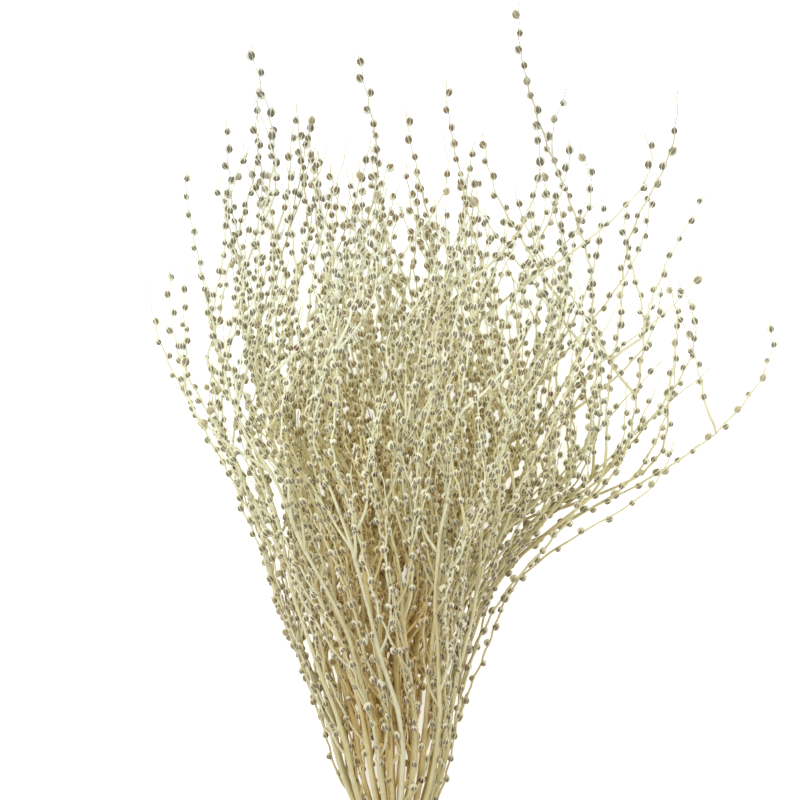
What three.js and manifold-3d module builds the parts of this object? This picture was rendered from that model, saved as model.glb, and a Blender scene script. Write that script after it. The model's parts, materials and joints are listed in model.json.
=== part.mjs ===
// A loose bunch of dried canary grass, lying on its side on a flat surface.
// Millimetres, +Z up. The cut ends are towards -Y and the tips towards +Y.
import * as THREE from "three";
import { mergeVertices } from "three/addons/utils/BufferGeometryUtils.js";
import Module from "manifold-3d";

const wasm = await Module();
wasm.setup();

// Driving dimensions
const seedOfDraws = 13;
// How far each stem reaches from the cut ends, in the order of its place in the bunch
const stemTips = [
  421, 424, 428, 420, 417, 528, 376, 472, 508, 472, 486, 378, 474, 476, 365, 426,
  403, 446, 468, 484, 360, 424, 429, 380, 438, 417, 444, 366, 391, 492, 417,
];
const stemPitch = 3.5; // centre to centre where the bunch is gathered
const stemRadius = 1.55; // at the cut end
const crownRadius = 0.95; // where a stem ends in its leading wand
const stemSides = 6;
const wandRadius = 0.7;
const wandSides = 3;
const seedRadius = 2.35;
const seedLength = 4.6;
const seedLean = 1.1; // how far a seed stands beside its wand
const pairPitch = 78; // seeds come in pairs, one on each side of the wand
const clearGap = 0.4; // least space between two stems
const gatheredAt = 45; // where the stems lie closest together
const straightUntil = 100; // the gathered ends neither turn nor sway below this
const swayGrownAt = 300;
const turnOfBunch = THREE.MathUtils.degToRad(38);
const swayAcross = 0.11;
const swayUpright = 0.1;
const strayOut = 0.32; // how far the stems of the +X side hang out
const flatness = 0.6; // how much the underside is flattened by the surface
const forkSlope = 0.65;
const shortestWave = 72;
const longestWave = 150;
const waveDepth = 0.021; // as a share of the bunch's half width
const restingClear = 2.4; // height of a wand's middle where it lies on the surface
const originShift = new THREE.Vector3(-37.5, -267, 0);

// Cross-sections of the bunch, through the centre lines of its outermost stems: distance from
// the cut ends, half width, height of the bottom, of the middle and of the top, lean sideways
const restHeight = stemRadius * Math.cos(Math.PI / stemSides);
const rowsUp = 1.5 * Math.sqrt(3);
const waistHalf = 2.5 * stemPitch;
const waistRise = rowsUp * stemPitch;
const sections = [
  [0, 13, restHeight, restHeight + 13, restHeight + 26, 0],
  [gatheredAt, waistHalf, restHeight, restHeight + waistRise, restHeight + 2 * waistRise, 0],
  [75, 19, restHeight, 18, 34, 0],
  [104, 29, restHeight, 25, 49, -1],
  [132, 35, 2.6, 30, 60, -2],
  [170, 44, 4, 38, 76, -4],
  [206, 55, 6, 47, 96, -2],
  [239, 68.5, 8, 55, 114, 3],
  [270, 85, 10, 62, 132, 8],
  [305, 98, 12, 69, 148, 6],
  [371, 106, 14, 78, 168, 6],
  [426, 103, 16, 84, 180, 5],
  [480, 98, 18, 88, 186, 5],
  [545, 95, 22, 92, 186, 4],
];

// A number from 0 to 1 that belongs to one stem, one of its wands and one use
function draw(stem, wand, use) {
  let h = Math.imul(stem + 1, 73856093) ^ Math.imul(wand + 1, 19349663);
  h ^= Math.imul(use + 1, 83492791) ^ Math.imul(seedOfDraws, 40503);
  h = Math.imul(h ^ (h >>> 15), 0x2c1b3c6d);
  h = Math.imul(h ^ (h >>> 12), 0x297a2d39);
  return ((h ^ (h >>> 15)) >>> 0) / 2 ** 32;
}

// One column of the sections at a distance from the cut ends, on a curve that never overshoots
function sectionAt(column, along) {
  const last = sections.length - 2;
  let i = 0;
  while (i < last && along > sections[i + 1][0]) i++;
  const rise = (k) => {
    if (k < 0 || k > last) return 0;
    return (sections[k + 1][column] - sections[k][column]) / (sections[k + 1][0] - sections[k][0]);
  };
  const slopeAt = (k) => {
    const before = rise(k - 1);
    const after = rise(k);
    return before * after > 0 ? (2 * before * after) / (before + after) : 0;
  };
  const span = sections[i + 1][0] - sections[i][0];
  const t = THREE.MathUtils.clamp((along - sections[i][0]) / span, 0, 1);
  const [h1, h2] = [2 * t ** 3 - 3 * t ** 2 + 1, t ** 3 - 2 * t ** 2 + t];
  const [h3, h4] = [-2 * t ** 3 + 3 * t ** 2, t ** 3 - t ** 2];
  return (
    h1 * sections[i][column] +
    h2 * span * slopeAt(i) +
    h3 * sections[i + 1][column] +
    h4 * span * slopeAt(i + 1)
  );
}

// The places of the stems where the bunch is gathered: a round patch of a honeycomb,
// each as a share of the bunch's half width and half height
function honeycomb() {
  const places = [];
  for (let row = -3; row <= 3; row++) {
    for (let column = -3; column <= 3; column++) {
      const across = column + row / 2;
      const upright = (row * Math.sqrt(3)) / 2;
      if (Math.hypot(across, upright) < 2.7) places.push([across / 2.5, upright / rowsUp]);
    }
  }
  return places;
}

// Where a place in the bunch's round section lies at a distance from the cut ends.
// The section turns and sways on the way, layer by layer, so no two lines ever meet.
function inBunch(across, upright, along) {
  const grown = THREE.MathUtils.smoothstep(along, straightUntil, swayGrownAt);
  const turn = turnOfBunch * grown;
  let a = across * Math.cos(turn) - upright * Math.sin(turn);
  let b = across * Math.sin(turn) + upright * Math.cos(turn);
  a += grown * swayAcross * Math.sin(Math.PI * (1.7 * b + along / 135) + 0.6);
  b += grown * swayUpright * Math.sin(Math.PI * (1.4 * a + along / 180) + 2.1);
  a += THREE.MathUtils.smoothstep(along, 190, 400) * strayOut * Math.max(a, 0) ** 3;
  const underside = Math.sqrt(1 - flatness * grown * Math.min(a * a, 0.9));
  if (b < 0) b /= 1 + (underside - 1) * THREE.MathUtils.smoothstep(-b, 0, 0.5);
  const middle = sectionAt(3, along);
  const below = middle - sectionAt(2, along);
  const above = sectionAt(4, along) - middle;
  const share = THREE.MathUtils.smoothstep(b, -0.25, 0.25);
  return new THREE.Vector3(
    sectionAt(5, along) + a * sectionAt(1, along),
    along,
    middle + b * (below + (above - below) * share),
  );
}

// One stem: where it stands in the honeycomb, where it ends, and its wands
function planStem(place, index) {
  const reach = Math.hypot(...place);
  const tip = stemTips[index];
  const crown = 150 + 0.42 * (tip - 150);
  const start = 6 * draw(index, 0, 2);
  const wands = [{ number: 0, fork: crown - 6, tip, turn: 0, spread: 0, leading: true }];
  const turnStart = 2 * Math.PI * draw(index, 0, 3);
  for (let k = 1; k <= 3; k++) {
    const fork = 92 + ((k - 0.9 + 0.6 * draw(index, k, 4)) / 3) * (crown - 105);
    const length = (170 + 70 * draw(index, k, 5)) * 0.87;
    wands.push({
      number: k,
      fork,
      tip: Math.min(fork + length, tip + 12),
      turn: turnStart + k * 2.4,
      spread: 0.62 + 0.3 * draw(index, k, 6),
      leading: false,
    });
  }
  return { index, place, reach, start, crown, tip, wands };
}

function wave(stem, number, along, from) {
  const phase = 2 * Math.PI * draw(stem.index, number, 7);
  const wavelength = THREE.MathUtils.lerp(shortestWave, longestWave, draw(stem.index, number, 8));
  const depth = THREE.MathUtils.smoothstep(along, from, from + 60) * waveDepth * sectionAt(1, along);
  const angle = (2 * Math.PI * along) / wavelength + phase;
  return [depth * Math.sin(angle), depth * Math.cos(1.3 * angle)];
}

// Bends a line that would sink into the surface, so that it lies along it
function laidDown(point, along) {
  const grown = THREE.MathUtils.smoothstep(along, straightUntil, swayGrownAt);
  const lowest = THREE.MathUtils.lerp(restHeight, restingClear, grown);
  const over = point.z - lowest;
  point.z = lowest + (over + Math.hypot(over, 4 * grown)) / 2;
  return point;
}

// A point on a stem's own centre line
function onStem(stem, along) {
  const point = inBunch(stem.place[0], stem.place[1], along);
  const [sideways, upwards] = wave(stem, 0, along, straightUntil);
  return laidDown(point.add(new THREE.Vector3(sideways, 0, upwards)), along);
}

// A point on a wand, which leaves its stem at a fork and then runs up beside it
function onWand(stem, wand, along) {
  if (wand.leading) return onStem(stem, along);
  const cell = 0.2 * sectionAt(1, along) * wand.spread;
  const parted = 1 - Math.exp((-forkSlope * Math.max(along - wand.fork, 0)) / cell);
  const outward = Math.max(0, Math.cos(wand.turn) * stem.place[0] + Math.sin(wand.turn) * stem.place[1]);
  const free = 1 + (stem.reach > 0.85 ? 0.35 * outward : 0);
  const out = wand.spread * parted * free;
  const point = inBunch(
    stem.place[0] + 0.2 * out * Math.cos(wand.turn),
    stem.place[1] + 0.1925 * out * Math.sin(wand.turn),
    along,
  );
  const [sideways, upwards] = wave(stem, 0, along, straightUntil);
  const [moreSideways, moreUpwards] = wave(stem, wand.number, along, wand.fork);
  point.x += sideways + moreSideways;
  point.z += upwards + moreUpwards;
  return laidDown(point, along);
}

// A lathe-turned rod bent along a line. Each ring is {at, radius, aside}: its distance from
// the cut ends, its radius and how far its middle stands beside the line
function bentRod(line, rings, sides, roll) {
  const first = rings[0].at;
  const last = rings[rings.length - 1].at;
  const profile = rings.map((ring) => new THREE.Vector2(ring.radius, ring.at));
  profile.unshift(new THREE.Vector2(0, first));
  if (rings[rings.length - 1].radius > 0) profile.push(new THREE.Vector2(0, last));
  const rod = new THREE.LatheGeometry(profile, sides);
  const position = rod.getAttribute("position");
  const upward = new THREE.Vector3(0, 0, 1);
  const spun = new THREE.Vector3();
  for (let i = 0; i < position.count; i++) {
    const at = position.getY(i);
    const ring = rings.find((one) => Math.abs(one.at - at) < 1e-3);
    const tangent = line(at + 0.5).sub(line(at - 0.5)).normalize();
    const side = new THREE.Vector3().crossVectors(tangent, upward).normalize();
    const up = new THREE.Vector3().crossVectors(side, tangent);
    const middle = line(at);
    if (ring.aside) middle.addScaledVector(ring.aside, 1);
    spun.set(position.getX(i), 0, position.getZ(i)).applyAxisAngle(new THREE.Vector3(0, 1, 0), roll);
    middle.addScaledVector(side, spun.x).addScaledVector(up, spun.z);
    position.setXYZ(i, middle.x, middle.y, middle.z);
  }
  return rod;
}

// The solid of a closed geometry, with its shared corners merged and empty faces left out
function solidOf(geometry) {
  geometry.deleteAttribute("normal");
  geometry.deleteAttribute("uv");
  const merged = mergeVertices(geometry, 1e-3);
  const corners = [];
  const index = merged.index.array;
  for (let i = 0; i < index.length; i += 3) {
    const [a, b, c] = [index[i], index[i + 1], index[i + 2]];
    if (a !== b && b !== c && c !== a) corners.push(a, b, c);
  }
  const solid = new wasm.Manifold(
    new wasm.Mesh({
      numProp: 3,
      vertProperties: merged.attributes.position.array,
      triVerts: new Uint32Array(corners),
    }),
  );
  return solid;
}

function geometryOf(solid) {
  const mesh = solid.getMesh();
  const geometry = new THREE.BufferGeometry();
  geometry.setAttribute("position", new THREE.BufferAttribute(mesh.vertProperties, 3));
  geometry.setIndex(new THREE.BufferAttribute(mesh.triVerts, 1));
  geometry.computeVertexNormals();
  return geometry;
}

function stemRings(stem) {
  const stops = [stem.start, gatheredAt, 75, straightUntil, stem.crown, ...stem.wands.map((wand) => wand.fork)];
  stops.sort((one, other) => one - other);
  const rings = [];
  stops.forEach((at, i) => {
    const narrowing = THREE.MathUtils.clamp((at - straightUntil) / (stem.crown - straightUntil), 0, 1);
    rings.push({ at, radius: THREE.MathUtils.lerp(stemRadius, crownRadius, narrowing) });
    if (i + 1 < stops.length && stops[i + 1] - at > 64 && at >= straightUntil) {
      const between = (at + stops[i + 1]) / 2;
      rings.push({ at: between, radius: stemRadius * 0.85 });
    }
  });
  return rings;
}

// The pairs of seeds along a wand. The two seeds of a pair stand on opposite sides of it.
function pairsOn(stem, wand) {
  const pairs = [];
  const first = wand.fork + 26;
  const last = wand.tip - seedLength;
  const count = Math.max(1, Math.round((last - first) / pairPitch));
  for (let m = 0; m <= count; m++) {
    const at = first + ((last - first) * m) / count;
    const angle = 2 * Math.PI * draw(stem.index, wand.number, 20 + m);
    const seeds = [-1, 1].map((end) => {
      const aside = new THREE.Vector3(Math.cos(angle), 0, Math.sin(angle)).multiplyScalar(seedLean * end);
      const middle = onWand(stem, wand, at + (end * seedLength) / 2).add(aside);
      const sunk = Math.max(0, seedRadius - middle.z);
      aside.z += sunk;
      middle.z += sunk;
      return { at: at + (end * seedLength) / 2, aside, middle };
    });
    pairs.push({ at, seeds });
  }
  return pairs;
}

const plans = honeycomb().map(planStem);

// Every stem's lines as short steps, for keeping the stems apart
const steps = plans.map((stem) => {
  const points = [];
  for (let at = stem.start; at <= stem.crown; at += 4) {
    points.push({ point: onStem(stem, at), radius: stemRadius });
  }
  for (const wand of stem.wands) {
    for (let at = wand.fork; at <= wand.tip; at += 4) {
      points.push({ point: onWand(stem, wand, at), radius: wandRadius });
    }
  }
  return points;
});

const seedsTaken = [];

function seedIsClear(stem, seed) {
  const lines = steps.every(
    (points, index) =>
      index === stem.index ||
      points.every((p) => p.point.distanceTo(seed.middle) > seedRadius + p.radius + 0.5 + clearGap),
  );
  return (
    lines &&
    seedsTaken.every(
      (other) => other.stem === stem.index || other.middle.distanceTo(seed.middle) > 2 * seedRadius + clearGap,
    )
  );
}

function wandRings(stem, wand) {
  const rings = [
    { at: wand.fork, radius: wandRadius },
    { at: wand.fork + 9, radius: wandRadius },
  ];
  for (const { at, seeds } of pairsOn(stem, wand)) {
    if (!seeds.every((seed) => seedIsClear(stem, seed))) {
      rings.push({ at, radius: wandRadius });
      continue;
    }
    const neck = wandRadius * 0.9;
    for (const seed of seeds) {
      seedsTaken.push({ stem: stem.index, middle: seed.middle });
      rings.push({ at: seed.at - seedLength / 2, radius: neck });
      rings.push({ at: seed.at, radius: seedRadius, aside: seed.aside });
    }
    rings.push({ at: at + seedLength, radius: neck });
  }
  rings.push({ at: wand.tip + 6, radius: 0 });
  return rings;
}

function buildStem(stem) {
  let solid = solidOf(bentRod((at) => onStem(stem, at), stemRings(stem), stemSides, Math.PI / stemSides));
  for (const wand of stem.wands) {
    const rod = bentRod((at) => onWand(stem, wand, at), wandRings(stem, wand), wandSides, 0.3);
    solid = solid.add(solidOf(rod));
  }
  return geometryOf(solid);
}

const straw = new THREE.MeshStandardMaterial({ color: 0xcfc596, roughness: 0.8, metalness: 0 });
const bunch = new THREE.Group();
bunch.position.copy(originShift);
for (const stem of plans) {
  const mesh = new THREE.Mesh(buildStem(stem), straw);
  mesh.name = `stem_${String(stem.index + 1).padStart(2, "0")}`;
  bunch.add(mesh);
}

export default bunch;
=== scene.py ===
import json
import math

import bpy
import numpy as np
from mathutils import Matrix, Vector

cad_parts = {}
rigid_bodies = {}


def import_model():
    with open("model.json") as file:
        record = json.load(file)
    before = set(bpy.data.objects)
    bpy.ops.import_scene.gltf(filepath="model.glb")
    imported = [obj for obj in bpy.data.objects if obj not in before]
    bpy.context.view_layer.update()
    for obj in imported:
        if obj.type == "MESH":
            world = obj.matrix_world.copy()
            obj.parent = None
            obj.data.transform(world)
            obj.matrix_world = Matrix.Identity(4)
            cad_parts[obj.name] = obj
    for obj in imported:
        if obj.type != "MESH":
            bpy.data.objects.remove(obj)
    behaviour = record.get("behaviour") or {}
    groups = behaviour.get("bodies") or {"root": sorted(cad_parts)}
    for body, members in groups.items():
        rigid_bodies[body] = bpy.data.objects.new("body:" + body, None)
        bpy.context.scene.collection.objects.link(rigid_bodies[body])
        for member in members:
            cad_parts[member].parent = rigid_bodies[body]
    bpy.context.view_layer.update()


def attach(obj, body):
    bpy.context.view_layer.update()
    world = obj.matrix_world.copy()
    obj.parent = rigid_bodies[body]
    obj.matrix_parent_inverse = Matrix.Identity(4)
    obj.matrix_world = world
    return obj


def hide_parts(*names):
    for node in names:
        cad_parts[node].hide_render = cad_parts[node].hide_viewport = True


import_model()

mm = 0.001

# The bunch as the solids have it: lengths in mm, along the stems from their cut ends
bunch = {
    "seedOfDraws": 13,
    "stemTips": [
        421, 424, 428, 420, 417, 528, 376, 472, 508, 472, 486, 378, 474, 476, 365, 426,
        403, 446, 468, 484, 360, 424, 429, 380, 438, 417, 444, 366, 391, 492, 417,
    ],
    "stemPitch": 3.5,
    "stemRadius": 1.55,
    "gatheredAt": 45,
    "straightUntil": 100,
    "swayGrownAt": 300,
    "turn": math.radians(38),
    "swayAcross": (0.11, 1.7, 135, 0.6),  # depth, waves through the bunch, half a wave along it, phase
    "swayUpright": (0.1, 1.4, 180, 2.1),
    "strayOut": 0.32,  # how far the stems of the +X side hang out
    "strayBetween": (190, 400),
    "flatness": 0.6,  # of the underside
    "flatUntil": 0.9,
    "flatBlend": 0.5,
    "middleBlend": 0.25,
    "widestPlace": 1.15,  # where 1 is the bunch's edge
    "outerFrom": 0.85,
    "outerFreedom": 0.35,
    "uprightShare": 0.96,
    "shortestWave": 72,
    "longestWave": 150,
    "waveDepth": 0.021,
    "waveGrownIn": 60,
    "waveUpright": 1.3,
    "restingClear": 2.4,
    "restingBlend": 4,
    "leastHeight": 0.03,
    "originShift": (-37.5, -267, 0),
}
restHeight = bunch["stemRadius"] * math.cos(math.pi / 6)
rowsUp = 1.5 * math.sqrt(3)
waistHalf = 2.5 * bunch["stemPitch"]
waistRise = rowsUp * bunch["stemPitch"]
# Distance from the cut ends, half width, heights of the bottom, middle and top, lean sideways
sections = np.array([
    (0, 13, restHeight, restHeight + 13, restHeight + 26, 0),
    (bunch["gatheredAt"], waistHalf, restHeight, restHeight + waistRise, restHeight + 2 * waistRise, 0),
    (75, 19, restHeight, 18, 34, 0),
    (104, 29, restHeight, 25, 49, -1),
    (132, 35, 2.6, 30, 60, -2),
    (170, 44, 4, 38, 76, -4),
    (206, 55, 6, 47, 96, -2),
    (239, 68.5, 8, 55, 114, 3),
    (270, 85, 10, 62, 132, 8),
    (305, 98, 12, 69, 148, 6),
    (371, 106, 14, 78, 168, 6),
    (426, 103, 16, 84, 180, 5),
    (480, 98, 18, 88, 186, 5),
    (545, 95, 22, 92, 186, 4),
])


# A draw from 0 to 1 that depends only on the stem, the wand and what it is used for
def draw(stem, wand, use):
    mask = 0xFFFFFFFF
    h = ((stem + 1) * 73856093 ^ (wand + 1) * 19349663) & mask
    h = (h ^ ((use + 1) * 83492791) ^ (bunch["seedOfDraws"] * 40503)) & mask
    h = ((h ^ (h >> 15)) * 0x2C1B3C6D) & mask
    h = ((h ^ (h >> 12)) * 0x297A2D39) & mask
    return (h ^ (h >> 15)) / 2**32


def smooth(x, low, high):
    t = np.clip((x - low) / (high - low), 0, 1)
    return t * t * (3 - 2 * t)


def slopesOf(column):
    rise = np.diff(sections[:, column]) / np.diff(sections[:, 0])
    before = np.concatenate([[0], rise])
    after = np.concatenate([rise, [0]])
    total = np.where(before + after == 0, 1, before + after)
    return np.where(before * after > 0, 2 * before * after / total, 0)


sectionSlopes = [slopesOf(column) for column in range(6)]


# One measure of the bunch's section, on a smooth curve through the sections
def sectionAt(column, along):
    i = np.clip(np.searchsorted(sections[:, 0], along, side="left") - 1, 0, len(sections) - 2)
    span = sections[i + 1, 0] - sections[i, 0]
    t = np.clip((along - sections[i, 0]) / span, 0, 1)
    slopes = sectionSlopes[column]
    return (
        (2 * t**3 - 3 * t**2 + 1) * sections[i, column]
        + (t**3 - 2 * t**2 + t) * span * slopes[i]
        + (3 * t**2 - 2 * t**3) * sections[i + 1, column]
        + (t**3 - t**2) * span * slopes[i + 1]
    )


# The stems' places in the gathered bunch, where 1 is its edge
def honeycomb():
    places = []
    for row in range(-3, 4):
        for column in range(-3, 4):
            across = column + row / 2
            upright = row * math.sqrt(3) / 2
            if math.hypot(across, upright) < 2.7:
                places.append((across / 2.5, upright / rowsUp))
    return places


def swayed(sway, other, along, grown):
    depth, waves, halfWave, phase = sway
    return grown * depth * np.sin(math.pi * (waves * other + along / halfWave) + phase)


# Where a place in the bunch lies, at a distance from the cut ends
def inBunch(across, upright, along):
    grown = smooth(along, bunch["straightUntil"], bunch["swayGrownAt"])
    turn = bunch["turn"] * grown
    a = across * np.cos(turn) - upright * np.sin(turn)
    b = across * np.sin(turn) + upright * np.cos(turn)
    a = a + swayed(bunch["swayAcross"], b, along, grown)
    b = b + swayed(bunch["swayUpright"], a, along, grown)
    a = a + smooth(along, *bunch["strayBetween"]) * bunch["strayOut"] * np.maximum(a, 0) ** 3
    underside = np.sqrt(1 - bunch["flatness"] * grown * np.minimum(a * a, bunch["flatUntil"]))
    b = np.where(b < 0, b / (1 + (underside - 1) * smooth(-b, 0, bunch["flatBlend"])), b)
    middle = sectionAt(3, along)
    below = middle - sectionAt(2, along)
    above = sectionAt(4, along) - middle
    x = sectionAt(5, along) + a * sectionAt(1, along)
    blend = bunch["middleBlend"]
    z = middle + b * (below + (above - below) * smooth(b, -blend, blend))
    return np.stack([x, along + 0 * x, z], axis=-1)


stems = {
    "unevenEnds": 6,
    "crownFrom": 150,
    "crownShare": 0.42,  # of the rest of the stem, up to where its trunk ends
    "leadBelowCrown": 6,
}

# The side wands that the solids have too
sideWands = {
    "count": 3,
    "lowestFork": 92,
    "forkShift": 0.9,
    "forkJitter": 0.6,
    "belowCrown": 105,
    "shortest": 170,
    "longer": 70,
    "lengthShare": 0.87,
    "pastTip": 12,
    "turnStep": 2.4,
    "leastSpread": 0.62,
    "wider": 0.3,
    "step": 0.2,
    "slope": 0.65,
}


def planStem(index, place):
    tip = bunch["stemTips"][index]
    crown = stems["crownFrom"] + stems["crownShare"] * (tip - stems["crownFrom"])
    lead = {"number": 0, "fork": crown - stems["leadBelowCrown"], "tip": tip, "parent": None, "turn": 0}
    stem = {"index": index, "place": place, "reach": math.hypot(*place), "crown": crown, "wands": [lead]}
    stem["start"] = stems["unevenEnds"] * draw(index, 0, 2)
    turnStart = 2 * math.pi * draw(index, 0, 3)
    count = sideWands["count"]
    for k in range(1, count + 1):
        share = (k - sideWands["forkShift"] + sideWands["forkJitter"] * draw(index, k, 4)) / count
        fork = sideWands["lowestFork"] + share * (crown - sideWands["belowCrown"])
        length = sideWands["shortest"] + sideWands["longer"] * draw(index, k, 5)
        stem["wands"].append({
            "number": k,
            "fork": fork,
            "tip": min(fork + length * sideWands["lengthShare"], tip + sideWands["pastTip"]),
            "parent": 0,
            "turn": turnStart + k * sideWands["turnStep"],
            "spread": sideWands["leastSpread"] + sideWands["wider"] * draw(index, k, 6),
        })
    return stem


# The wands that only this finer bunch has. A parent is a wand's number, and 0 is the leading one
finerWands = {
    "parents": (0, 0, 0, 0, 0, 1, 2, 3, 1, 2, 3),
    "parentsAtRight": (0, 0, 1, 2, 3),
    "upperFrom": 0.15,
    "sideways": 1.3,
    "inwards": 2.4,
    "lowestFork": 62,
    "aboveFork": 16,
    "belowTip": 50,
    "crowding": 1.2,  # towards the lower end
    "shortest": 65,
    "longer": 95,
    "pastTip": 40,
    "pastOuterTip": 6,
    "lowestTop": 436,  # no finer wand ends above its top
    "topSpread": 48,
    "leastSpread": 0.6,  # of those on the leading wand
    "leastSpreadOfSide": 0.35,
    "wider": 0.5,
    "step": 0.42,
    "slope": 0.9,
}


# The upper stems part sideways, so that their forks lie open to the view
def finerTurn(stem, parent, n, k):
    across, upright = stem["place"]
    share = draw(stem["index"], k, 9)
    if upright > finerWands["upperFrom"] and parent["number"] == 0:
        return math.pi * n + finerWands["sideways"] * (share - 0.4)
    if stem["reach"] > bunch["outerFrom"] and parent["number"] > 0:
        return math.atan2(-upright, -across) + finerWands["inwards"] * (share - 0.5)
    return parent["turn"] + 2 * math.pi * share


def addFinerWands(stem):
    atRight = stem["place"][0] > bunch["outerFrom"]
    parents = finerWands["parentsAtRight"] if atRight else finerWands["parents"]
    past = finerWands["pastOuterTip"] if stem["reach"] > bunch["outerFrom"] else finerWands["pastTip"]
    for n, number in enumerate(parents):
        k = n + sideWands["count"] + 1
        parent = stem["wands"][number]
        low = finerWands["lowestFork"] if number == 0 else parent["fork"] + finerWands["aboveFork"]
        high = parent["tip"] - finerWands["belowTip"]
        share = (parents[:n].count(number) + draw(stem["index"], k, 4)) / parents.count(number)
        fork = low + (high - low) * share ** finerWands["crowding"]
        length = finerWands["shortest"] + finerWands["longer"] * draw(stem["index"], k, 5)
        top = finerWands["lowestTop"] + finerWands["topSpread"] * draw(stem["index"], k, 13)
        least = finerWands["leastSpread" if number == 0 else "leastSpreadOfSide"]
        stem["wands"].append({
            "number": k,
            "fork": fork,
            "tip": min(fork + length, top, parent["tip"] + past),
            "parent": number,
            "turn": finerTurn(stem, parent, n, k),
            "spread": least + finerWands["wider"] * draw(stem["index"], k, 6),
        })


wands = {
    "sides": 5,
    "ringEvery": 3.6,
    "rootRadius": 1.05,
    "radius": 0.62,
    "tipRadius": 0.3,
    "rootLength": 34,
    "tipLength": 70,
    "pastLastSeed": 6,
    "point": 1.5,
    "roll": 0.4,
    "kinkDepth": 1.0,  # how far a stem bends away from a wand at its fork
    "kinkLength": 16,
    "kinksGrowBetween": (60, 110),
    "zigzagDepth": 0.45,
    "zigzagLength": 15,
    "zigzagFrom": 4,  # past the fork
    "zigzagGrownAt": 30,
    "zigzagUpright": 0.8,
}


def wave(stem, number, along, start):
    phase = 2 * math.pi * draw(stem["index"], number, 7)
    wavelength = bunch["shortestWave"]
    wavelength += (bunch["longestWave"] - wavelength) * draw(stem["index"], number, 8)
    depth = smooth(along, start, start + bunch["waveGrownIn"]) * bunch["waveDepth"] * sectionAt(1, along)
    angle = 2 * math.pi * along / wavelength + phase
    return depth * np.sin(angle), depth * np.cos(bunch["waveUpright"] * angle)


# What would lie lower than the surface is bent up onto it
def laidDown(points, along):
    grown = smooth(along, bunch["straightUntil"], bunch["swayGrownAt"])
    lowest = restHeight + (bunch["restingClear"] - restHeight) * grown
    over = points[..., 2] - lowest
    points[..., 2] = lowest + (over + np.hypot(over, bunch["restingBlend"] * grown)) / 2
    return points


def kinks(stem, along):
    sideways = np.zeros(along.shape)
    upwards = np.zeros(along.shape)
    for wand in stem["wands"]:
        if wand["parent"] == 0:
            depth = wands["kinkDepth"] * smooth(wand["fork"], *wands["kinksGrowBetween"])
            bend = depth * np.exp(-np.abs(along - wand["fork"]) / wands["kinkLength"])
            sideways -= bend * math.cos(wand["turn"])
            upwards -= bend * math.sin(wand["turn"])
    return sideways, upwards


# The middle line of a stem, or of a wand with all that it branches from
def lineOf(stem, wand, along):
    along = np.asarray(along, float)
    across = np.full(along.shape, stem["place"][0], float)
    upright = np.full(along.shape, stem["place"][1], float)
    finerAcross = np.zeros(along.shape)
    finerUpright = np.zeros(along.shape)
    sideways, upwards = kinks(stem, along)
    more = wave(stem, 0, along, bunch["straightUntil"])
    sideways = sideways + more[0]
    upwards = upwards + more[1]
    outer = stem["reach"] > bunch["outerFrom"]
    while wand is not None and wand["parent"] is not None:
        finer = wand["number"] > sideWands["count"]
        kind = finerWands if finer else sideWands
        step = kind["step"] * wand["spread"]
        past = np.maximum(along - wand["fork"], 0)
        parted = 1 - np.exp(-kind["slope"] * past / (step * sectionAt(1, along)))
        toX = math.cos(wand["turn"])
        toZ = math.sin(wand["turn"])
        outward = toX * stem["place"][0] + toZ * stem["place"][1]
        free = 1 + bunch["outerFreedom"] * max(0, outward) if outer else 1
        out = step * parted * free
        if finer:
            finerAcross += out * toX
            finerUpright += bunch["uprightShare"] * out * toZ
        else:
            across += out * toX
            upright += bunch["uprightShare"] * out * toZ
        more = wave(stem, wand["number"], along, wand["fork"])
        sideways = sideways + more[0]
        upwards = upwards + more[1]
        wand = stem["wands"][wand["parent"]]
    widest = np.maximum(bunch["widestPlace"], np.hypot(across, upright))
    across += finerAcross
    upright += finerUpright
    held = np.minimum(1, widest / np.maximum(np.hypot(across, upright), 0.01))
    points = inBunch(across * held, upright * held, along)
    points[..., 0] += sideways
    points[..., 2] += upwards
    return laidDown(points, along)


# A wand zigzags a little, with about one bend to a seed
def zigzagLine(stem, wand, along):
    along = np.asarray(along, float)
    points = lineOf(stem, wand, along)
    start = wand["fork"] + wands["zigzagFrom"]
    depth = wands["zigzagDepth"] * smooth(along, start, wand["fork"] + wands["zigzagGrownAt"])
    angle = 2 * math.pi * (along / wands["zigzagLength"] + draw(stem["index"], wand["number"], 12))
    points[..., 0] += depth * np.sin(angle)
    points[..., 2] += depth * np.cos(wands["zigzagUpright"] * angle)
    return points


def framesAlong(line, along):
    tangent = line(along + 0.5) - line(along - 0.5)
    tangent /= np.linalg.norm(tangent, axis=-1, keepdims=True)
    side = np.cross(tangent, (0, 0, 1))
    side /= np.linalg.norm(side, axis=-1, keepdims=True)
    return tangent, side, np.cross(side, tangent)


# The mesh of one stem while it grows, with a value of each kind at each point
class Piece:
    def __init__(self):
        self.points = []
        self.faces = []
        self.materials = []
        self.values = {"tone": [], "pith": [], "patch": [], "height": [], "blush": []}
        self.count = 0

    def add(self, points, faces, material, **values):
        self.faces += [tuple(corner + self.count for corner in face) for face in faces]
        self.materials += [material] * len(faces)
        self.points.append(points)
        for name, stored in self.values.items():
            stored.append(np.broadcast_to(values.get(name, 0.0), len(points)))
        self.count += len(points)


def tubeFaces(rings, sides):
    faces = []
    for i in range(rings - 1):
        for j in range(sides):
            k = (j + 1) % sides
            faces.append((i * sides + j, i * sides + k, (i + 1) * sides + k, (i + 1) * sides + j))
    return faces


def tipFaces(last, sides):
    return [(last + j, last + (j + 1) % sides, last + sides) for j in range(sides)]


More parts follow.
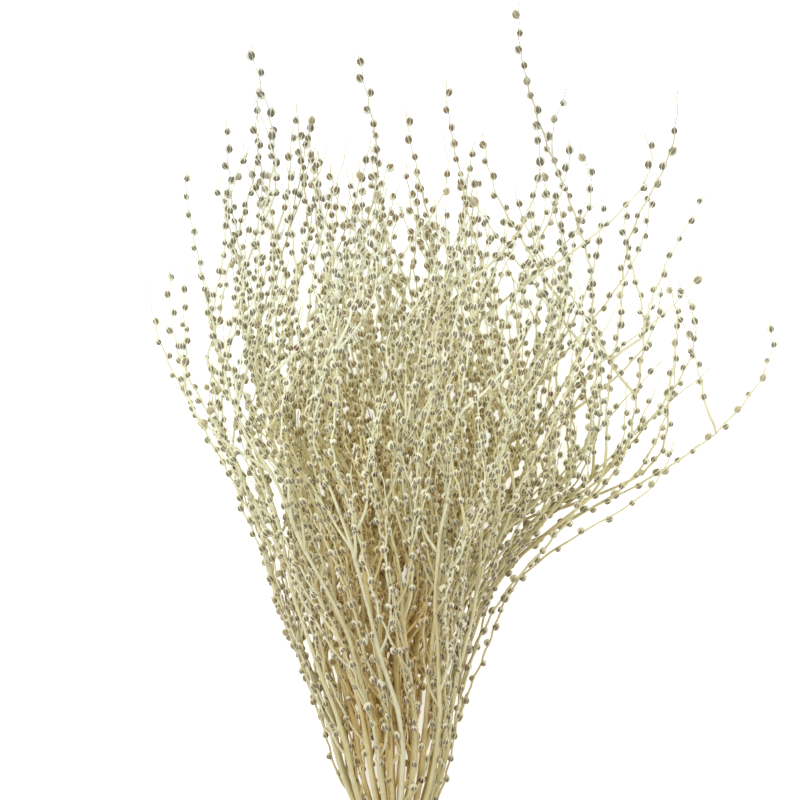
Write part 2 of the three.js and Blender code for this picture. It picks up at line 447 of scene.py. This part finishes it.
# A closed form: a point, some rings and a point
def budFaces(rings, sides):
    faces = [(0, 1 + (j + 1) % sides, 1 + j) for j in range(sides)]
    faces += [tuple(1 + corner for corner in face) for face in tubeFaces(rings, sides)]
    return faces + tipFaces(1 + (rings - 1) * sides, sides)


def ringsAlong(line, along, radius, sides, roll):
    centre = line(along)
    tangent, side, up = framesAlong(line, along)
    angle = roll - 2 * math.pi * np.arange(sides) / sides
    around = side[:, None] * np.cos(angle)[None, :, None] + up[:, None] * np.sin(angle)[None, :, None]
    return centre[:, None] + np.asarray(radius)[:, None, None] * around


paintedStemShade = {
    "shadedAt": -0.6,
    "litAt": 0.7,
    "leastLit": 0.4,
}


# Painted shade: the stems on top of the bunch are paler than those below, whose tone is darkened as if they
# lay in shade; each stem's tone also differs at random
def toneWithPaintedShade(stem, number):
    lit = smooth(stem["place"][1], paintedStemShade["shadedAt"], paintedStemShade["litAt"])
    return draw(stem["index"], number, 10) * (paintedStemShade["leastLit"] + (1 - paintedStemShade["leastLit"]) * lit)


trunk = {
    "sides": 12,
    "ringEvery": 8,
    "radius": 1.5,
    "crownRadius": 0.75,
    "leastTaper": 0.45,  # power of the narrowing, which differs from stem to stem
    "mostTaper": 0.85,
    "forkSwelling": 0.28,
    "swellingPastFork": 1,
    "swellingLength": 7,
    "cutSlant": 0.9,
    "dishDepth": 0.7,  # of the cut end
    "dishWidth": 0.62,
    "point": 1.0,
}


def addTrunk(piece, stem):
    start, crown = stem["start"], stem["crown"]
    along = np.linspace(start, crown, int((crown - start) / trunk["ringEvery"]))
    narrowing = np.clip((along - bunch["straightUntil"]) / (crown - bunch["straightUntil"]), 0, 1)
    taper = trunk["leastTaper"] + (trunk["mostTaper"] - trunk["leastTaper"]) * draw(stem["index"], 0, 11)
    radius = trunk["radius"] + (trunk["crownRadius"] - trunk["radius"]) * narrowing**taper
    for wand in stem["wands"]:
        if wand["parent"] == 0:
            near = (along - wand["fork"] - trunk["swellingPastFork"]) / trunk["swellingLength"]
            radius = radius + trunk["forkSwelling"] * np.exp(-near * near)
    sides = trunk["sides"]
    line = lambda at: lineOf(stem, None, at)
    rings = ringsAlong(line, along, radius, sides, 0.0)
    slant = trunk["cutSlant"] * (draw(stem["index"], 0, 9) - 0.5)
    rings[0, :, 1] += slant * (rings[0, :, 2] - rings[0, :, 2].mean())
    dish = rings[0] * trunk["dishWidth"] + rings[0].mean(axis=0) * (1 - trunk["dishWidth"])
    dish[:, 1] += trunk["dishDepth"]
    point = line(np.array([crown + trunk["point"]]))
    points = np.concatenate([dish, rings.reshape(-1, 3), point])
    faces = tubeFaces(len(along) + 1, sides)
    faces.append(tuple(range(sides - 1, -1, -1)))
    faces += tipFaces(len(along) * sides, sides)
    pith = np.zeros(len(points))
    pith[:sides] = 1.0
    piece.add(points, faces, 0, tone=toneWithPaintedShade(stem, 0), pith=pith)


def addWand(piece, stem, wand):
    fork = wand["fork"]
    end = wand["tip"] + wands["pastLastSeed"]
    along = np.linspace(fork - 1, end, int((end - fork) / wands["ringEvery"]))
    fromRoot = np.clip((along - fork) / wands["rootLength"], 0, 1)
    radius = wands["rootRadius"] + (wands["radius"] - wands["rootRadius"]) * np.sqrt(fromRoot)
    toTip = smooth(along, end - wands["tipLength"], end)
    radius = radius * (1 - toTip) + wands["tipRadius"] * toTip
    sides = wands["sides"]
    line = lambda at: zigzagLine(stem, wand, at)
    rings = ringsAlong(line, along, radius, sides, wands["roll"])
    points = np.concatenate([rings.reshape(-1, 3), line(np.array([end + wands["point"]]))])
    faces = tubeFaces(len(along), sides)
    faces += tipFaces((len(along) - 1) * sides, sides)
    faces.append(tuple(range(sides - 1, -1, -1)))
    piece.add(points, faces, 0, tone=toneWithPaintedShade(stem, wand["number"]))


seeds = {
    "length": 4.9,
    "radius": 2.15,
    "thickness": 0.9,  # from the upper rib to the lower one, as a share of the width
    "halfRound": ((0, 0.3), (28, 1), (62, 0), (118, 0), (152, 1)),  # degrees from a rib, patch
    "profile": ((0.08, 0.48), (0.34, 0.96), (0.64, 0.9), (0.9, 0.38)),  # height, radius
    "tip": 1.04,
    "pitch": 6.7,
    "pitchJitter": 1.8,
    "firstAfterFork": 14,
    "bareTipShare": 0.3,
    "bareTip": 20,
    "sparseTip": 0.4,  # how much farther apart the seeds near a wand's tip are
    "sparseTipLength": 70,
    "sparseLow": 0.7,  # and those below the head
    "sparseBetween": (160, 280),
    "turnStep": 2.6,
    "turnJitter": 0.9,
    "leastSize": 0.84,
    "larger": 0.28,
    "fullShare": 0.06,  # of the seeds, which are much fuller than the rest
    "fuller": 0.28,
    "smallerAbove": 0.05,
    "smallerBetween": (180, 280),
    "largerAtTop": 0.2,
    "topBetween": (400, 470),
    "seat": 0.45,  # share of a seed's length that lies behind its place on the wand
    "aside": 0.85,
    "leanOut": 0.3,  # how far the tips point away from the wand
    "leastLean": 0.3,
    "moreLean": 1.1,
    "ribLean": 1.2,
    "blushShare": 0.006,
}


# Each half round holds a rib, two patches and two pale sides. A patch has 1 in its middle
def seedForm():
    turns = [(90 + half + degrees, patch) for half in (0, 180) for degrees, patch in seeds["halfRound"]]
    points = [(0, 0, 0)]
    patches = [0]
    for height, radius in seeds["profile"]:
        for degrees, patch in turns:
            angle = math.radians(degrees)
            points.append((radius * math.cos(angle), radius * math.sin(angle), height))
            patches.append(patch)
    points.append((0, 0, seeds["tip"]))
    patches.append(0)
    return np.array(points), budFaces(len(seeds["profile"]), len(turns)), np.array(patches)


bracts = {
    "share": 0.3,
    "length": 5.2,
    "width": 0.5,
    "thickness": 0.35,
    "profile": ((0.3, 1.0), (0.65, 0.7)),  # height, half width
    "tipRise": 0.5,
    "leastLength": 0.7,
    "longer": 0.7,
    "leastWidth": 0.8,
    "wider": 0.5,
    "leanIn": 0.5,
    "behindSeed": 1.5,
    "inside": 0.3,
}


def bractForm():
    points = [(0, 0, 0)]
    for height, width in bracts["profile"]:
        thickness = bracts["thickness"] * width
        points += [(width, 0, height), (0, thickness, height), (-width, 0, height), (0, -thickness, height)]
    points.append((0, bracts["tipRise"], 1))
    return np.array(points), budFaces(len(bracts["profile"]), 4)


seedPoints, seedFaces, seedPatches = seedForm()
bractPoints, bractFaces = bractForm()


def placed(form, scale, base, axis, facing):
    axis = axis / np.linalg.norm(axis)
    across = np.cross(facing, axis)
    across /= np.linalg.norm(across)
    out = np.cross(axis, across)
    local = form * scale
    return base + local[:, :1] * across + local[:, 1:2] * out + local[:, 2:] * axis


def seedPlaces(wand, random):
    last = wand["tip"]
    if random.random() < seeds["bareTipShare"]:
        last -= seeds["bareTip"] * random.random()
    places = [last]
    while places[-1] > wand["fork"] + seeds["firstAfterFork"] + seeds["pitch"]:
        toTip = smooth(places[-1], last - seeds["sparseTipLength"], last)
        high = smooth(places[-1], *seeds["sparseBetween"])
        sparse = 1 + seeds["sparseTip"] * toTip + seeds["sparseLow"] * (1 - high)
        jitter = seeds["pitchJitter"] * (random.random() - 0.5)
        places.append(places[-1] - seeds["pitch"] * sparse - jitter)
    return np.array(places[::-1])


def seedSizes(along, random):
    count = len(along)
    size = seeds["leastSize"] + seeds["larger"] * random.random(count)
    size += seeds["fuller"] * (random.random(count) > 1 - seeds["fullShare"])
    smaller = seeds["smallerAbove"] * smooth(along, *seeds["smallerBetween"])
    return size * (1 - smaller + seeds["largerAtTop"] * smooth(along, *seeds["topBetween"]))


def addBract(piece, centre, tangent, away, random):
    length = bracts["length"] * (bracts["leastLength"] + bracts["longer"] * random.random())
    width = bracts["width"] * (bracts["leastWidth"] + bracts["wider"] * random.random())
    axis = tangent - away * bracts["leanIn"] * random.random()
    base = centre - tangent * bracts["behindSeed"] - away * bracts["inside"]
    scale = np.array([width, width, length])
    piece.add(placed(bractPoints, scale, base, axis, away), bractFaces, 0, tone=random.random())


def addSeeds(piece, stem, wand, random):
    along = seedPlaces(wand, random)
    line = lambda at: zigzagLine(stem, wand, at)
    centre = line(along)
    tangent, side, up = framesAlong(line, along)
    turn = 2 * math.pi * random.random() + np.arange(len(along)) * seeds["turnStep"]
    turn = turn + seeds["turnJitter"] * (random.random(len(along)) - 0.5)
    away = side * np.cos(turn)[:, None] + up * np.sin(turn)[:, None]
    for i, size in enumerate(seedSizes(along, random)):
        length = seeds["length"] * size
        radius = seeds["radius"] * size
        lean = seeds["leanOut"] * (seeds["leastLean"] + seeds["moreLean"] * random.random())
        axis = tangent[i] + away[i] * lean
        base = centre[i] + away[i] * seeds["aside"] - tangent[i] * length * seeds["seat"]
        base[2] += max(0, radius - base[2] - 0.5 * axis[2] * length)
        scale = np.array([radius, radius * seeds["thickness"], length])
        ribFacing = np.array([seeds["ribLean"] * (random.random() - 0.5), 0, 1])
        piece.add(
            placed(seedPoints, scale, base, axis, ribFacing),
            seedFaces,
            1,
            tone=random.random(),
            patch=seedPatches,
            height=seedPoints[:, 2],
            blush=1.0 if random.random() < seeds["blushShare"] else 0.0,
        )
        if random.random() < bracts["share"]:
            addBract(piece, centre[i], tangent[i], away[i], random)


# How deep a point lies in the bunch: 0 at its outside and 1 in its middle. It places the painted golden
# shade deep in the bunch
def innerShare(points):
    along = points[:, 1]
    middle = sectionAt(3, along)
    above = (points[:, 2] - middle) / (sectionAt(4, along) - middle)
    below = (points[:, 2] - middle) / (middle - sectionAt(2, along))
    across = (points[:, 0] - sectionAt(5, along)) / sectionAt(1, along)
    return np.clip(1 - np.hypot(across, np.where(above > 0, above, below)), 0, 1)


def makePiece(name, piece, surfaces):
    mesh = bpy.data.meshes.new(name)
    grown = np.concatenate(piece.points)
    points = grown + np.array(bunch["originShift"])
    points[:, 2] = np.maximum(points[:, 2], bunch["leastHeight"])
    points *= mm
    mesh.from_pydata(points.tolist(), [], piece.faces)
    for surface in surfaces:
        mesh.materials.append(surface)
    mesh.polygons.foreach_set("material_index", piece.materials)
    mesh.polygons.foreach_set("use_smooth", [True] * len(mesh.polygons))
    values = {key: np.concatenate(parts) for key, parts in piece.values.items()}
    # The depth in the bunch, where the painted golden shade falls
    values["inner"] = innerShare(grown)
    for key, column in values.items():
        attribute = mesh.attributes.new(key, "FLOAT", "POINT")
        attribute.data.foreach_set("value", column.astype(np.float32))
    made = bpy.data.objects.new(name, mesh)
    bpy.context.scene.collection.objects.link(made)
    return made


def nodeTree(name):
    material = bpy.data.materials.new(name)
    material.use_nodes = True
    nodes = material.node_tree.nodes
    return material, nodes, material.node_tree.links, nodes["Principled BSDF"]


def setSocket(links, socket, value):
    if isinstance(value, bpy.types.NodeSocket):
        links.new(value, socket)
    else:
        socket.default_value = value


def mixColour(nodes, links, factor, first, second, blend="MIX"):
    mix = nodes.new("ShaderNodeMix")
    mix.data_type = "RGBA"
    mix.blend_type = blend
    setSocket(links, mix.inputs["Factor"], factor)
    setSocket(links, mix.inputs["A"], first)
    setSocket(links, mix.inputs["B"], second)
    return mix.outputs["Result"]


def attributeNode(nodes, name):
    attribute = nodes.new("ShaderNodeAttribute")
    attribute.attribute_name = name
    return attribute.outputs["Fac"]


def noiseNode(nodes, links, vector, scale, detail=3.0, stretch=(1, 1, 1)):
    mapping = nodes.new("ShaderNodeMapping")
    mapping.inputs["Scale"].default_value = stretch
    links.new(vector, mapping.inputs["Vector"])
    noise = nodes.new("ShaderNodeTexNoise")
    noise.inputs["Scale"].default_value = scale
    noise.inputs["Detail"].default_value = detail
    links.new(mapping.outputs["Vector"], noise.inputs["Vector"])
    return noise.outputs["Fac"]


def rampNode(nodes, links, factor, stops):
    ramp = nodes.new("ShaderNodeValToRGB")
    elements = ramp.color_ramp.elements
    while len(elements) < len(stops):
        elements.new(0.5)
    for element, (position, colour) in zip(elements, stops):
        element.position = position
        element.color = (*colour, 1)
    links.new(factor, ramp.inputs["Fac"])
    return ramp.outputs["Color"]


def mathNode(nodes, links, operation, *values):
    node = nodes.new("ShaderNodeMath")
    node.operation = operation
    for socket, value in zip(node.inputs, values):
        setSocket(links, socket, value)
    return node.outputs["Value"]


def rangeNode(nodes, links, value, low, high, kind="LINEAR"):
    spread = nodes.new("ShaderNodeMapRange")
    spread.interpolation_type = kind
    spread.inputs["From Min"].default_value = low
    spread.inputs["From Max"].default_value = high
    links.new(value, spread.inputs["Value"])
    return spread.outputs["Result"]


# Painted light and shade: tints along the bunch, from the gathered ends to the tips, outside and deep
# inside. They are darker at the gathered ends as if shaded there and lighter further along, and deep inside
# they give a painted golden shade
paintedLightAndShade = {
    "from": -0.16,
    "to": 0.2,
    "innerBetween": (0.02, 0.4),
    "outer": [
        (0.0, (0.78, 0.77, 0.66)),
        (0.25, (0.87, 0.86, 0.78)),
        (0.5, (0.95, 0.99, 0.92)),
        (0.75, (1.02, 1.09, 1.12)),
        (1.0, (0.77, 0.82, 0.87)),
    ],
    "inner": [
        (0.0, (1.0, 0.87, 0.57)),
        (0.25, (1.08, 0.96, 0.67)),
        (0.5, (1.04, 1.01, 0.81)),
        (0.75, (1.01, 1.07, 1.05)),
        (1.0, (0.77, 0.82, 0.87)),
    ],
}


def placeAlong(nodes, links, coordinates):
    split = nodes.new("ShaderNodeSeparateXYZ")
    links.new(coordinates, split.inputs["Vector"])
    return rangeNode(nodes, links, split.outputs["Y"], paintedLightAndShade["from"], paintedLightAndShade["to"])


def insideBy(nodes, links, between):
    return rangeNode(nodes, links, attributeNode(nodes, "inner"), *between, "SMOOTHSTEP")


# Multiplies a colour by the painted light and shade along the bunch and the painted golden shade deep
# inside it
def withPaintedLightAndShade(nodes, links, along, colour):
    outer = rampNode(nodes, links, along, paintedLightAndShade["outer"])
    inner = rampNode(nodes, links, along, paintedLightAndShade["inner"])
    tint = mixColour(nodes, links, insideBy(nodes, links, paintedLightAndShade["innerBetween"]), outer, inner)
    return mixColour(nodes, links, 1.0, colour, tint, "MULTIPLY")


straw = {
    "deep": (0.50, 0.37, 0.15),
    "middle": (0.80, 0.71, 0.42),
    "pale": (0.88, 0.85, 0.64),
    "stops": (0.4, 0.68, 0.96),
    "pith": (0.60, 0.52, 0.34),
    "streak": (0.74, 0.70, 0.62),
    "streakBetween": (0.3, 0.62),
    "streakStrength": 0.55,
    "streakScale": 900,
    "streakDetail": 2.0,
    "streakStretch": (1, 0.05, 1),
    "patchScale": 26,
    "toneShare": 0.55,
    "alongShare": 0.3,
    "bumpStrength": 0.35,
    "bumpDepth": 0.0002,
    "roughness": 0.62,
}


def strawSurface():
    material, nodes, links, shader = nodeTree("dried_straw")
    coordinates = nodes.new("ShaderNodeTexCoord").outputs["Object"]
    patches = noiseNode(nodes, links, coordinates, straw["patchScale"])
    streaks = noiseNode(
        nodes, links, coordinates, straw["streakScale"], straw["streakDetail"], straw["streakStretch"])
    along = placeAlong(nodes, links, coordinates)
    # The stems' tone value holds a random tone and, for the stems low in the bunch, a painted shade
    mixed = mathNode(
        nodes, links, "MULTIPLY_ADD", attributeNode(nodes, "tone"), straw["toneShare"], patches)
    mixed = mathNode(nodes, links, "MULTIPLY_ADD", along, straw["alongShare"], mixed)
    colours = (straw["deep"], straw["middle"], straw["pale"])
    colour = rampNode(nodes, links, mixed, list(zip(straw["stops"], colours)))
    shades = (straw["streak"], (1, 1, 1))
    streakShade = rampNode(nodes, links, streaks, list(zip(straw["streakBetween"], shades)))
    colour = mixColour(nodes, links, straw["streakStrength"], colour, streakShade, "MULTIPLY")
    colour = mixColour(nodes, links, attributeNode(nodes, "pith"), colour, (*straw["pith"], 1))
    # The base colour takes the painted light and shade along and inside the bunch
    links.new(withPaintedLightAndShade(nodes, links, along, colour), shader.inputs["Base Color"])
    bump = nodes.new("ShaderNodeBump")
    bump.inputs["Strength"].default_value = straw["bumpStrength"]
    bump.inputs["Distance"].default_value = straw["bumpDepth"]
    links.new(streaks, bump.inputs["Height"])
    links.new(bump.outputs["Normal"], shader.inputs["Normal"])
    shader.inputs["Roughness"].default_value = straw["roughness"]
    return material


husk = {
    "rim": (0.90, 0.85, 0.66),
    "rimDark": (0.70, 0.60, 0.38),
    "rimPaleFrom": 0.35,
    "patch": (0.165, 0.132, 0.082),
    "patchPale": (0.37, 0.305, 0.20),
    "patchBetween": (0.35, 0.72),
    # Deep in the bunch the patches take a painted golden shade, lighter and warmer than their own brown
    "patchInnerShade": (0.34, 0.23, 0.10),
    "innerShadeBetween": (0.1, 0.6),
    "patchShadeAbove": (0.80, 0.77, 0.69),
    "shadeBetween": (0.55, 0.85),
    "patchWidth": 0.64,
    "patchMiddle": 0.48,
    "patchHeight": 0.36,
    "patchReach": 1.5,
    "patchEdge": 0.5,
    "faintBelow": 0.25,
    "grainScale": 1300,
    "grainShare": 0.5,
    "blush": (0.12, 0.012, 0.012),
    "roughness": 0.5,
}


# How much of a patch's colour a place on a seed has: an oval with a grainy edge
def patchShare(nodes, links, own, grain):
    wide = mathNode(nodes, links, "SUBTRACT", 1.0, attributeNode(nodes, "patch"))
    wide = mathNode(nodes, links, "DIVIDE", wide, husk["patchWidth"])
    tall = mathNode(nodes, links, "SUBTRACT", attributeNode(nodes, "height"), husk["patchMiddle"])
    tall = mathNode(nodes, links, "DIVIDE", tall, husk["patchHeight"])
    tall = mathNode(nodes, links, "MULTIPLY", tall, tall)
    oval = mathNode(nodes, links, "MULTIPLY_ADD", wide, wide, tall)
    oval = mathNode(nodes, links, "MULTIPLY_ADD", grain, husk["grainShare"], oval)
    within = mathNode(nodes, links, "SUBTRACT", husk["patchReach"], oval)
    within = rangeNode(nodes, links, within, 0.0, husk["patchEdge"], "SMOOTHSTEP")
    strength = rangeNode(nodes, links, own, -husk["faintBelow"], husk["faintBelow"], "SMOOTHSTEP")
    return mathNode(nodes, links, "MULTIPLY", within, strength)


def huskSurface():
    material, nodes, links, shader = nodeTree("seed_husk")
    coordinates = nodes.new("ShaderNodeTexCoord").outputs["Object"]
    along = placeAlong(nodes, links, coordinates)
    own = attributeNode(nodes, "tone")
    grain = noiseNode(nodes, links, coordinates, husk["grainScale"])
    rim = rampNode(nodes, links, own, [(0.0, husk["rimDark"]), (husk["rimPaleFrom"], husk["rim"])])
    patchColours = (husk["patch"], husk["patchPale"])
    patch = rampNode(nodes, links, grain, list(zip(husk["patchBetween"], patchColours)))
    # Painted golden shade on the patches deep in the bunch
    inside = insideBy(nodes, links, husk["innerShadeBetween"])
    patch = mixColour(nodes, links, inside, patch, (*husk["patchInnerShade"], 1))
    shades = ((1, 1, 1), husk["patchShadeAbove"])
    shade = rampNode(nodes, links, along, list(zip(husk["shadeBetween"], shades)))
    patch = mixColour(nodes, links, 1.0, patch, shade, "MULTIPLY")
    patch = mixColour(nodes, links, attributeNode(nodes, "blush"), patch, (*husk["blush"], 1))
    colour = mixColour(nodes, links, patchShare(nodes, links, own, grain), rim, patch)
    # The base colour takes the painted light and shade along and inside the bunch
    links.new(withPaintedLightAndShade(nodes, links, along, colour), shader.inputs["Base Color"])
    shader.inputs["Roughness"].default_value = husk["roughness"]
    return material


strawMaterial = strawSurface()
huskMaterial = huskSurface()
print("materials made")

triangles = 0
for index, place in enumerate(honeycomb()):
    stem = planStem(index, place)
    addFinerWands(stem)
    random = np.random.default_rng(100 + index)
    piece = Piece()
    addTrunk(piece, stem)
    for wand in stem["wands"]:
        addWand(piece, stem, wand)
        addSeeds(piece, stem, wand, random)
    made = makePiece(f"DriedStem{index + 1:02d}", piece, [strawMaterial, huskMaterial])
    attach(made, "root")
    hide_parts(f"stem_{index + 1:02d}")
    triangles += sum(len(face) - 2 for face in piece.faces)
print("stems made,", triangles, "triangles")

floorLook = {
    "size": 6.0,
    "height": -0.0003,
    "colour": (0.93, 0.93, 0.925),
    "roughness": 0.9,
    "glow": 0.5,
}

bpy.ops.mesh.primitive_plane_add(size=floorLook["size"], location=(0, 0, floorLook["height"]))
floor = bpy.context.object
floor.name = "Floor"
floorMaterial = nodeTree("floor_white")[0]
floorShader = floorMaterial.node_tree.nodes["Principled BSDF"]
floorShader.inputs["Base Color"].default_value = (*floorLook["colour"], 1)
floorShader.inputs["Roughness"].default_value = floorLook["roughness"]
floorShader.inputs["Emission Color"].default_value = (1, 1, 1, 1)
floorShader.inputs["Emission Strength"].default_value = floorLook["glow"]
floor.data.materials.append(floorMaterial)

lights = {
    "sky": 0.62,
    "aim": (0, 0, 0.05),
    "boxes": {
        "KeyLight": {"place": (-0.7, 0.5, 1.5), "power": 14, "size": 1.2},
        "FillLight": {"place": (0.9, -0.6, 1.2), "power": 5, "size": 1.4},
    },
}

world = bpy.data.worlds.new("Studio")
world.use_nodes = True
sky = world.node_tree.nodes["Background"]
sky.inputs["Color"].default_value = (1, 1, 1, 1)
sky.inputs["Strength"].default_value = lights["sky"]
bpy.context.scene.world = world

for name, box in lights["boxes"].items():
    light = bpy.data.lights.new(name, "AREA")
    light.energy = box["power"]
    light.shape = "DISK"
    light.size = box["size"]
    lamp = bpy.data.objects.new(name, light)
    lamp.location = box["place"]
    towards = Vector(lights["aim"]) - Vector(box["place"])
    lamp.rotation_euler = towards.to_track_quat("-Z", "Y").to_euler()
    bpy.context.scene.collection.objects.link(lamp)

view = {
    "place": (-0.0337, 0.049, 1.25),  # straight above the bunch
    "seenWidth": 0.440,
    "seenAt": 0.08,  # height of the plane that is as wide as seenWidth
    "sensorWidth": 36,
}

camera = bpy.data.cameras.new("Camera")
camera.sensor_width = view["sensorWidth"]
camera.lens = camera.sensor_width * (view["place"][2] - view["seenAt"]) / view["seenWidth"]
cameraObject = bpy.data.objects.new("Camera", camera)
cameraObject.location = view["place"]
bpy.context.scene.collection.objects.link(cameraObject)
bpy.context.scene.camera = cameraObject
bpy.context.scene.view_settings.view_transform = "Standard"
print("studio made")
